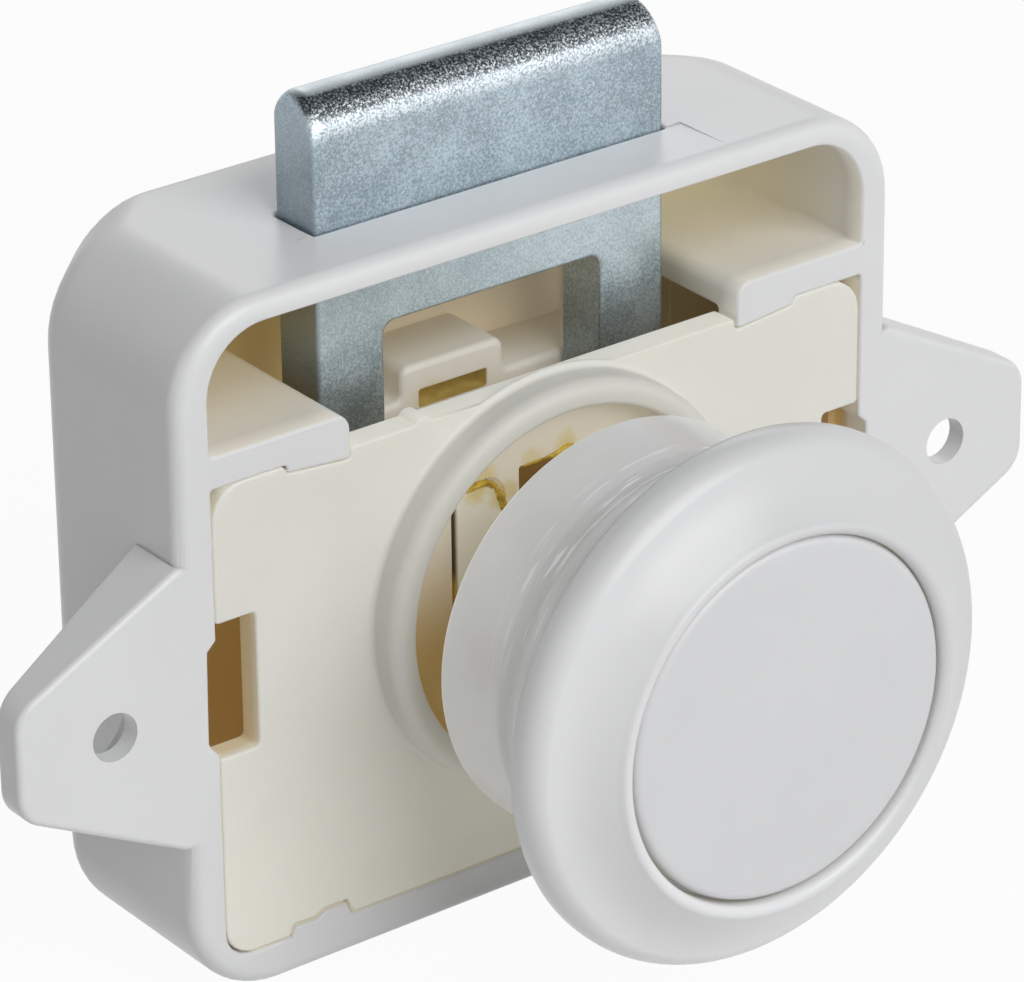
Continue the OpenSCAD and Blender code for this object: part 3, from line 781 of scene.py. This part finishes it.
def buildCase():
    s, r, e, c = caseSize, restSize, earSize, recessSize
    case = caseShell()
    for side in (-1, 1):
        combine(case, shelfTool(side))
        for z in r["lows"]:  # rests for the cover
            across = (r["end"], s["innerX"] + r["intoWall"])
            rest = sideBrick(side, across, (r["front"], r["back"]), (z, z + r["height"]))
            combine(case, rest)
        cut(case, prismTool(mirrored(notchOutline, side), -past, s["notchDeep"]))
    slot = brickTool((-s["slotX"], s["slotFront"], s["innerHigh"] - past),
                     (s["slotX"], s["slotBack"], s["high"] + past))
    cut(case, slot)
    softenEdges(case, s["softEdge"], s["softAngle"])
    over = s["high"] + past
    slope = [(c["from"], s["high"]), (c["to"], s["high"] - c["deep"]), (c["to"], over), (c["from"], over)]
    cut(case, crossTool(slope, c["halfX"]))
    for side in (-1, 1):
        stud = slabTool("stud tool", mirrored(softCorners(studOutline, 3), side), studSize["front"],
                        studSize["back"], studSize["edge"])
        combine(case, stud)
        combine(case, earTool(side))
        at, back = side * e["screwAt"], e["rootThick"] + past
        cut(case, prismTool(circle(e["screwRadius"], 48, at), -past, back))
        cut(case, prismTool(circle(e["pocket"], 64, at), e["wall"], back))
    finishPiece(case, "housing", "white_plastic", "case", "whitePlastic", "innerPlastic")
    near = 0.1
    notchX = max(x for x, z in notchOutline) + near
    notchLow, notchHigh = notchOutline[-1][1] - near, notchOutline[0][1] + near
    for p in case.data.polygons:
        at = p.center / mm
        inNotch = abs(at.x) < notchX and notchLow < at.z < notchHigh
        deep = s["innerFrom"] < at.y < s["innerBack"] + near / 2
        inside = deep and (fromInnerWall(at) < near or inNotch)
        p.material_index = 1 if inside else 0
    print("case:", len(case.data.polygons), "faces")


buildCase()


# cover plate with its raised ring and the opening for the plunger

coverSize = {"front": 0.1, "back": 1.9, "halfX": 23.65, "low": -17.15, "corner": 2.1, "lobeRound": 3.0,
             "tongueX": 14.04, "tongueTop": 13.0, "reliefTop": 12.24, "lobeIn": 18.75, "lobeTop": 13.15,
             "windowX": 20.9, "windowLow": -3.9, "windowHigh": 4.7, "edge": 0.18, "nubX": -8.9,
             "nubZ": 12.65, "nub": 0.7, "holeX": 7.04, "holeLow": -7.0, "holeTop": 8.12, "holeEdge": 0.12,
             "archTop": 8.09, "archRound": 1.8, "toothIn": 2.1, "toothOut": 3.15, "toothLow": 4.95}
ringSize = {"inner": 11.3, "outer": 12.9, "front": -2.2, "lift": 0.55, "outerRound": 0.9, "outerFoot": 0.45,
            "innerRound": 0.3, "innerFoot": 0.25, "sunk": 0.03, "root": 0.5}


def coverOutline():
    s = coverSize
    half = [(14.75, s["low"], 0.15), (15.05, -16.15, 0.2), (16.8, -16.15, 0.2), (17.4, -16.5, 0.2),
            (18.95, -16.45, 0.2), (19.25, s["low"], 0.2),  # up to here round the case's stud
            (s["halfX"], s["low"], s["corner"]), (s["halfX"], s["windowLow"], 0.25),
            (s["windowX"], s["windowLow"], 0.3), (s["windowX"], s["windowHigh"], 0.3),
            (s["halfX"], s["windowHigh"], 0.25), (s["halfX"], s["lobeTop"], s["lobeRound"]),
            (s["lobeIn"], s["lobeTop"], 0.5), (s["lobeIn"] - 0.4, s["reliefTop"] + 0.4, 0.3),
            (s["tongueX"], s["reliefTop"], 0.3), (s["tongueX"], s["tongueTop"], 0.4)]
    nub = [(x, z, 0) for x, z in arcPoints((s["nubX"], s["nubZ"]), s["nub"], 30, 150, 10)]
    return softCorners(half + nub + [(-x, z, r) for x, z, r in reversed(half)], 6)


def ringTool():
    r = ringSize
    base, top = coverSize["front"] + r["sunk"], r["front"]
    outFoot, outRound, inRound, inFoot = r["outerFoot"], r["outerRound"], r["innerRound"], r["innerFoot"]
    profile = arcPoints((r["outer"] + outFoot, base - outFoot), outFoot, 90, 180, 6)
    profile += arcPoints((r["outer"] - outRound, top + outRound), outRound, 0, -90, 6)
    profile += arcPoints((r["inner"] + inRound, top + inRound), inRound, -90, -180, 6)
    profile += arcPoints((r["inner"] - inFoot, base - inFoot), inFoot, 0, 90, 6)
    root = coverSize["front"] + r["root"]
    profile += [(r["inner"] + inRound, root), (r["outer"] - inRound, root)]
    return latheTool("ring tool", profile, at=(0, 0, r["lift"]))


def buildCover():
    s = coverSize
    half = [(s["holeX"], s["holeLow"], 1.0), (s["holeX"], s["archTop"], s["archRound"]),
            (s["toothOut"], s["archTop"], s["archRound"]), (s["toothOut"], s["toothLow"], 0.2),
            (s["toothIn"], s["toothLow"], 0.2), (s["toothIn"], s["holeTop"], 0.15)]
    hole = {"outline": softCorners(bothSides(half), 6), "edge": s["holeEdge"]}
    cover = slabTool("cover_moulding", coverOutline(), s["front"], s["back"], s["edge"], [hole])
    combine(cover, ringTool())
    smoothAll(cover)
    finishPiece(cover, "housing", "ivory_plastic", "cover_plate", "ivoryPlastic")
    print("cover:", len(cover.data.polygons), "faces")


buildCover()


# guide block behind the bolt

guideSize = {"halfX": 12.4, "front": 9.3, "back": 14.38, "low": -14.5, "top": 9.4, "towerX": 3.8,
             "towerTop": 11.5, "edge": 0.4, "openX": 7.4, "openLow": -9.55, "openTop": 8.49, "openEdge": 0.1,
             "openRound": 0.4, "slotX": 2.5, "slotLow": 8.62, "slotTop": 9.8, "slotDeep": 2.4,
             "slotRound": 0.15}


def buildGuide():
    s = guideSize
    half = [(s["halfX"], s["low"], 0.8), (s["halfX"], s["top"], 0.6), (s["towerX"], s["top"], 0.5),
            (s["towerX"], s["towerTop"], 0.7)]
    openX, slotX = s["openX"], s["slotX"]
    opening = roundedRect(-openX, openX, s["openLow"], s["openTop"], s["openRound"], 4)
    slot = roundedRect(-slotX, slotX, s["slotLow"], s["slotTop"], s["slotRound"], 5)
    holes = [{"outline": opening, "edge": s["openEdge"]},
             {"outline": slot, "edge": s["openEdge"], "deep": s["slotDeep"]}]
    outline = softCorners(bothSides(half))
    guide = slabTool("guide_moulding", outline, s["front"], s["back"], s["edge"], holes)
    finishPiece(guide, "housing", "ivory_plastic", "guide_block", "greasedIvoryPaintedShade", "slotGrease")
    near = 0.05
    for p in guide.data.polygons:
        at = p.center / mm
        across = abs(at.x) < slotX + near and s["slotLow"] - near < at.z < s["slotTop"] + near
        if across and 2 * near < at.y - s["front"] < s["slotDeep"] + 2 * near:
            p.material_index = 1


buildGuide()


# bolt: plated steel plate with two legs, its upper end rounded over

boltSize = {"halfX": 12.6, "front": 5.2, "back": 9.0, "top": 31.8, "roundFront": 2.4, "roundBack": 1.2,
            "corner": 1.0, "cutX": 7.9, "cutTop": 17.1, "cutRound": 0.9, "legLow": -8.6, "edge": 0.22}


def boltOutline(draw, drop):
    s = boltSize
    low, cutX, cutTop = s["legLow"] + draw, s["cutX"] + draw, s["cutTop"] + draw
    outX, cutRound = s["halfX"] - draw, s["cutRound"]
    half = [(cutX, low, 0.3), (outX, low, 0.5), (outX, s["top"] - drop, s["corner"])]
    return softCorners(bothSides(half) + [(-cutX, cutTop, cutRound), (cutX, cutTop, cutRound)], 7)


def fallAt(radius, depth):  # how far a rounding of this radius has fallen at a depth under its start
    return radius - sqrt(max(0.0, radius ** 2 - (radius - depth) ** 2)) if depth < radius else 0.0


def buildBolt():
    s = boltSize
    levels = set()
    for size, steps, ends in (("roundFront", 12, "f"), ("roundBack", 12, "b"), ("edge", 4, "fb")):
        for i in range(steps + 1):
            reach = s[size] * (1 - cos(radians(90 * i / steps)))
            if "f" in ends:
                levels.add(round(s["front"] + reach, 4))
            if "b" in ends:
                levels.add(round(s["back"] - reach, 4))
    bm = bmesh.new()
    loops = []
    for y in sorted(levels):
        ahead, behind = y - s["front"], s["back"] - y
        drop = max(fallAt(s["roundFront"], ahead), fallAt(s["roundBack"], behind))
        loops.append(addLoop(bm, boltOutline(fallAt(s["edge"], min(ahead, behind)), drop), y))
    loft(bm, loops)
    cap(bm, loops[0])
    cap(bm, loops[-1])
    finishPiece(toObject(bm, "bolt_plate"), "bolt", "zinc_plated_steel", "bolt", "zincPlate")


buildBolt()
print("guide block and bolt made")


# knob group: rosette, sleeve, pressed face and the plunger behind it

knobSize = {"barrel": 12.7, "sleeveIn": 11.25, "sleeveRear": -6.1, "sleeveFront": -20.5, "flange": -17.3,
            "lip": -22.3, "lipRound": 0.45, "rosette": 16.35, "rosetteEdge": 0.5, "roll": 1.8,
            "rollFrom": 0.9, "hollow": 0.3, "hollowEnd": (0.9, 0.3), "groove": 0.22, "grooveHalf": 0.8,
            "grooveFrom": 6.2, "groovePitch": 2.3, "knob": 10.95, "tubeIn": 9.35, "hubRear": -7.2,
            "hubThick": 2.0, "face": -22.0, "disc": 11.08, "discAt": (0.07, 0.0, 0.06), "discEdge": 0.5,
            "discThick": 1.6, "spigot": 3.0, "spigotOut": 1.6, "spigotIn": 2.6}
plungerSize = {"plateIn": 3.3, "plateOut": 6.8, "plateEdge": 0.35, "low": -6.7, "top": 7.89, "topRound": 1.6,
               "front": 0.2, "faceBack": 1.5, "faceTop": 4.6, "faceRound": 0.4, "faceEdge": 0.2,
               "faceHoleEdge": 0.05, "webTop": -5.2, "webShort": 0.3, "overlap": 0.1, "skip": 0.02,
               "end": 13.2, "neck": 4.25, "neckIn": 2.65, "slot": 1.25, "slotFrom": (2.8, 4.94),
               "slotTo": (11.0, -3.7), "sunk": 0.03}


def buildRosette():
    s = knobSize
    edge, roll, lipRound = s["rosetteEdge"], s["roll"], s["lipRound"]
    profile = [(s["barrel"], s["flange"])]
    profile += arcPoints((s["rosette"] - edge, s["flange"] - edge), edge, 90, 0, 6)
    profile += arcPoints((s["rosette"] - roll, s["flange"] - s["rollFrom"]), roll, 0, -60, 12)
    r0, y0 = profile[-1]
    across, forward = s["sleeveIn"] + s["hollowEnd"][0] - r0, s["lip"] + s["hollowEnd"][1] - y0
    for t in (i / 20 for i in range(1, 21)):
        profile.append((r0 + across * t, y0 + forward * t + s["hollow"] * sin(pi * t)))
    profile += arcPoints((s["sleeveIn"] + lipRound, s["lip"] + lipRound), lipRound, -45, -180, 9)
    profile += [(s["sleeveIn"], s["sleeveFront"]), (s["barrel"], s["sleeveFront"])]
    rosette = latheTool("rosette_ring_moulding", profile, 192)
    finishPiece(rosette, "housing", "white_plastic", "rosette_ring", "whiteKnob")


def buildSleeve():
    s = knobSize
    points = [(s["sleeveIn"], s["sleeveRear"], 0.15), (s["sleeveIn"], s["sleeveFront"], 0),
              (s["barrel"], s["sleeveFront"], 0)]
    for i in (1, 0):
        y = s["sleeveRear"] - s["grooveFrom"] - s["groovePitch"] * i
        for t in (k / 8 for k in range(-8, 9)):
            sunk = s["groove"] * (0.5 + 0.5 * cos(pi * t))
            points.append((s["barrel"] - sunk, y + s["grooveHalf"] * t, 0))
    points.append((s["barrel"], s["sleeveRear"], 0.35))
    sleeve = latheTool("sleeve_moulding", softCorners(points), 192)
    finishPiece(sleeve, "housing", "milky_plastic", "barrel_sleeve", "milkySleeve")


def buildKnobFace():
    s = knobSize
    r, y, edge = s["disc"], s["face"], s["discEdge"]
    behind, end = y + s["discThick"], y + s["discThick"] + s["spigot"]
    outer, inner = r - s["spigotOut"], r - s["spigotIn"]
    profile = [(r * k, y) for k in (0, 0.25, 0.5, 0.75, 0.9)]
    profile += arcPoints((r - edge, y + edge), edge, -90, 0, 6)
    profile += [(r, behind), (outer, behind), (outer, end), (inner, end), (inner, behind), (0, behind)]
    face = latheTool("knob_face", profile, 192, False, s["discAt"])  # hangs a little to one side
    finishPiece(face, "knob", "white_plastic", "knob_cap", "knobFace")


def buildKnobTube():
    s = knobSize
    front = s["face"] + s["discThick"]
    profile = [(s["tubeIn"], front, 0.1), (s["knob"], front, 0.1), (s["knob"], s["hubRear"], 0.4),
               (s["tubeIn"], s["hubRear"], 0.15)]
    tube = latheTool("knob_tube", softCorners(profile))
    finishPiece(tube, "knob", "white_plastic", "knob_body", "whiteKnob")


def plungerHub():
    s, tube = plungerSize, knobSize["tubeIn"]
    rear, front = knobSize["hubRear"], knobSize["hubRear"] - knobSize["hubThick"]
    neck, neckIn, end = s["neck"], s["neckIn"], s["faceBack"]
    profile = [(0, front, 0), (tube, front, 0.1), (tube, rear, 0.2), (neck, rear, 0.2), (neck, end, 0),
               (neckIn, end, 0), (neckIn, rear, 0), (0, rear, 0)]
    return latheTool("plunger_moulding", softCorners(profile, 4), 96, False)


def buildPlunger():
    s = plungerSize
    sunk, skip, r, inX, outX = s["sunk"], s["skip"], s["topRound"], s["plateIn"], s["plateOut"]
    plunger = plungerHub()
    faceOutline = roundedRect(sunk - outX, outX - sunk, s["low"] + sunk, s["faceTop"], s["faceRound"], 4)
    faceHole = {"outline": circle(s["neckIn"], 96), "edge": s["faceHoleEdge"]}
    face = slabTool("face tool", faceOutline, s["front"] + sunk, s["faceBack"] + skip, s["faceEdge"],
                    [faceHole])
    combine(plunger, face)
    plate = [(inX, s["low"]), (outX, s["low"])] + arcPoints((outX - r, s["top"] - r), r, 0, 90, 8)
    plate += arcPoints((inX + r, s["top"] - r), r, 90, 180, 8)
    for side in (-1, 1):
        tool = slabTool("plate tool", mirrored(plate, side), s["front"], s["end"], s["plateEdge"])
        combine(plunger, tool)
    webX, short = inX + s["overlap"], s["webShort"]
    web = brickTool((-webX, s["front"] + short, s["low"] + skip), (webX, s["end"] - short, s["webTop"]))
    combine(plunger, web)
    a, b = Vector(s["slotFrom"]), Vector(s["slotTo"])
    lean = degrees(atan2(b.y - a.y, b.x - a.x))
    slot = arcPoints(a, s["slot"], lean + 90, lean + 270, 12)
    slot += arcPoints(b, s["slot"], lean - 90, lean + 90, 12)
    cut(plunger, crossTool(slot, outX + past))
    finishPiece(plunger, "knob", "ivory_plastic", "plunger", "plungerIvory")


for build in (buildRosette, buildSleeve, buildKnobFace, buildKnobTube, buildPlunger):
    build()
print("knob group made")


# grease squeezed out round the plunger's opening, as points of a bead with its radius there

greaseSize = {"holeEdge": [(-1.9, 0.12, 8.1, 0.05), (-1.4, 0.1, 8.13, 0.1), (-0.8, 0.1, 8.14, 0.09),
                           (0.0, 0.1, 8.17, 0.13), (0.8, 0.06, 8.25, 0.22), (1.4, 0.02, 8.4, 0.32),
                           (2.0, 0.08, 8.35, 0.18)],
              "postTop": [(-5.9, 0.25, 7.55, 0.12), (-5.4, 0.2, 7.75, 0.2), (-4.9, 0.18, 7.85, 0.24),
                          (-4.3, 0.2, 7.75, 0.2), (-3.75, 0.2, 7.3, 0.22), (-3.45, 0.2, 6.75, 0.3),
                          (-3.3, 0.25, 6.2, 0.26), (-3.25, 0.25, 5.6, 0.16)],
              "sides": 10, "between": 5, "taperFrom": 0.15, "taperOver": 4.0, "wobble": (0.8, 0.6),
              "wobbleScale": 3.1, "wobbleTurn": 0.8}


def buildBead(name, points, body):
    s = greaseSize
    sides, between, (mean, swing) = s["sides"], s["between"], s["wobble"]
    bm = bmesh.new()
    path = []
    for (*start, r0), (*end, r1) in zip(points, points[1:]):
        for t in (i / between for i in range(between)):
            path.append((Vector(start).lerp(Vector(end), t), r0 + (r1 - r0) * t))
    path.append((Vector(points[-1][:3]), points[-1][3]))
    last = len(path) - 1
    loops = []
    for i, (p, r) in enumerate(path):
        course = (path[min(i + 1, last)][0] - path[max(i - 1, 0)][0]).normalized()
        side = course.cross(Vector((0, 1, 0))).normalized()
        up = side.cross(course)
        grown = s["taperFrom"] + (1 - s["taperFrom"]) * min(i, last - i) / s["taperOver"]
        taper = sin(pi * min(1.0, grown) / 2)
        loop = []
        for a in (2 * pi * k / sides for k in range(sides)):
            turn = Vector((cos(a), sin(a), 0)) * s["wobbleTurn"]
            wobble = mean + swing * noise.noise(p * s["wobbleScale"] + turn)
            loop.append(bm.verts.new(p + (side * cos(a) + up * sin(a)) * r * taper * wobble))
        loops.append(loop)
    finishPiece(shutLoft(bm, loops, name), body, "ivory_plastic", None, "yellowGrease")


buildBead("grease_hole_edge", greaseSize["holeEdge"], "housing")
buildBead("grease_post_top", greaseSize["postTop"], "knob")


# spring between the plunger's hub and the back wall

springSize = {"coil": 2.0, "wire": 0.35, "curls": 12, "from": -6.8, "to": 14.0, "perCurl": 28, "sides": 10}


def buildSpring():
    s = springSize
    bm = bmesh.new()
    count = s["curls"] * s["perCurl"]
    section = circle(s["wire"], s["sides"])
    rings = []
    for i in range(count + 1):
        a = 2 * pi * i / s["perCurl"]
        y = s["from"] + (s["to"] - s["from"]) * i / count
        out = Vector((cos(a), 0, sin(a)))
        rings.append([bm.verts.new(out * (s["coil"] + u) + Vector((0, y + v, 0))) for u, v in section])
    spring = shutLoft(bm, rings, "coil_spring")
    spring.data.materials.append(finishes["brightSteel"])
    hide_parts("knob_spring")
    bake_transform(spring)


buildSpring()
print("grease and spring made")


# what stays as its solid gets its finish

solidLooks = {"brightSteel": ("spring_post", "latch_wire", "left_cam_pin", "right_cam_pin", "lug_rivets"),
              "plungerIvory": ("left_lug", "right_lug")}
for finish, nodeNames in solidLooks.items():
    for nodeName in nodeNames:
        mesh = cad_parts[nodeName].data
        mesh.materials.clear()
        mesh.materials.append(finishes[finish])


# stage: pale floor, white surroundings, soft light

stageSize = {"floorBelow": -19.9, "floorHalf": 700.0, "floorColour": (0.72, 0.72, 0.72), "floorRough": 0.9,
             "floorGlow": 0.95}
light = {"world": 0.31, "worldLeft": 0.22, "ceiling": 0.03, "ceilingFrom": (0.5, 0.72),
         "key": {"at": (0.03, -0.64, 0.48), "power": 4.1, "size": 0.7},
         "back": {"at": (0.54, 0.72, 0.44), "power": 0.5, "size": 0.42}}


def seenDirectly(tree):  # by the camera, in a reflection or through something clear
    path = newNode(tree, "LightPath")
    mirrors = mathNode(tree, "MAXIMUM", path["Is Glossy Ray"], path["Is Transmission Ray"])
    return mathNode(tree, "MAXIMUM", path["Is Camera Ray"], mirrors)


def mixInto(tree, output, factor, a, b):
    both = newNode(tree, "MixShader", {0: factor, 1: a[0], 2: b[0]})
    feed(tree, tree.nodes[output], {"Surface": both[0]})


def buildFloor():
    bm = bmesh.new()
    half, z = stageSize["floorHalf"], stageSize["floorBelow"]
    bm.faces.new(addLoop(bm, [(-half, z), (half, z)], -half) + addLoop(bm, [(half, z), (-half, z)], half))
    floor = toObject(bm, "floor")
    m, tree, shader = newMaterial("paleFloor")
    pale = feed(tree, shader, {"Base Color": stageSize["floorColour"], "Roughness": stageSize["floorRough"]})
    glow = newNode(tree, "Emission", {"Strength": 1.0})
    share = times(tree, seenDirectly(tree), stageSize["floorGlow"])  # what is left keeps the shadow
    mixInto(tree, "Material Output", share, pale, glow)
    floor.data.materials.append(m)


def buildWorld():  # white round about, with a dim ceiling in the reflections
    world = bpy.data.worlds.new("softRoom")
    scene.world = world
    world.use_nodes = True
    tree = world.node_tree
    at = newNode(tree, "SeparateXYZ", {0: newNode(tree, "TexCoord")["Generated"]})
    room = rangeNode(tree, at["X"], -1.0, 0.0, light["worldLeft"], light["world"])
    ceiling = rangeNode(tree, at["Z"], *light["ceilingFrom"], 1.0, light["ceiling"])
    back = feed(tree, tree.nodes["Background"], {"Color": (1, 1, 1), "Strength": room})
    white = newNode(tree, "Background", {"Color": (1, 1, 1), "Strength": ceiling})
    mixInto(tree, "World Output", seenDirectly(tree), back, white)


def areaLight(name):
    data = bpy.data.lights.new(name, "AREA")
    data.energy = light[name]["power"]
    data.shape = "DISK"
    data.size = light[name]["size"]
    lamp = bpy.data.objects.new(name, data)
    lamp.location = light[name]["at"]
    lamp.rotation_mode = "QUATERNION"
    lamp.rotation_quaternion = (-Vector(light[name]["at"])).to_track_quat("-Z", "Y")
    scene.collection.objects.link(lamp)


buildFloor()
buildWorld()
areaLight("key")
areaLight("back")


# camera at the photograph's viewing angle

cameraView = {"turn": -37.01, "rise": 26.14, "roll": -0.66, "focal": 5835.0, "width": 1024.0,
              "offset": (2.255, 5.374, 343.301), "sensor": 36.0, "clip": (0.01, 10.0)}


def buildCamera():
    c = cameraView
    a, e, r = (radians(c[k]) for k in ("turn", "rise", "roll"))
    forward = -Vector((sin(a) * cos(e), -cos(a) * cos(e), sin(e)))
    right = forward.cross(Vector((0, 0, 1))).normalized()
    up = right.cross(forward)
    right, up = cos(r) * right + sin(r) * up, -sin(r) * right + cos(r) * up
    x, y, z = c["offset"]
    eye = -(right * x - up * y + forward * z)
    data = bpy.data.cameras.new("camera")
    data.sensor_fit = "HORIZONTAL"
    data.sensor_width = c["sensor"]
    data.lens = c["focal"] * c["sensor"] / c["width"]
    data.clip_start, data.clip_end = c["clip"]
    cam = bpy.data.objects.new("camera", data)
    turned = Matrix((right, up, -forward)).transposed()
    cam.matrix_world = Matrix.Translation(eye * mm) @ turned.to_4x4()
    scene.collection.objects.link(cam)
    scene.camera = cam


buildCamera()
print("stage, light and camera set")
